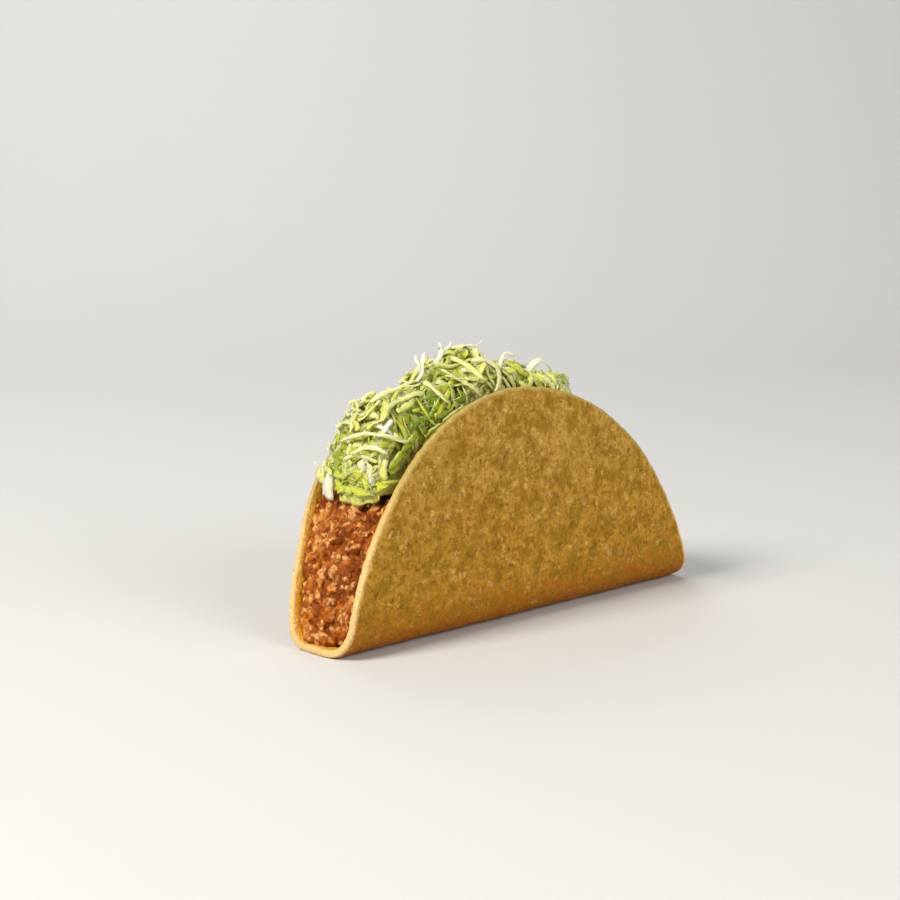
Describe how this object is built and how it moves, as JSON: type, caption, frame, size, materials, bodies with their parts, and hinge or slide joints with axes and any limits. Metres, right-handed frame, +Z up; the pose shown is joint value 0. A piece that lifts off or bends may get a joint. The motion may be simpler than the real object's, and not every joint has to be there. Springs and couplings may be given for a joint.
{
  "type": "taco",
  "caption": "Crisp corn taco: a fried tortilla folded into a half-moon, with seasoned mince wedged in the fold under a heap of shredded lettuce.",
  "frame": {"origin": "middle of the flat foot under the fold, in the plane of the table", "axes": "+Z up; X along the fold, from one open end to the other; +Y towards the wall that flares out"},
  "size_m": [0.143, 0.0448, 0.078],
  "materials": {
    "fried_tortilla": "matte",
    "seasoned_mince": "satin",
    "shredded_lettuce": "satin"
  },
  "bodies": {
    "root": {"tortilla_shell": "fried_tortilla", "mince_filling": "seasoned_mince", "shredded_lettuce": "shredded_lettuce"}
  },
  "joints": []
}
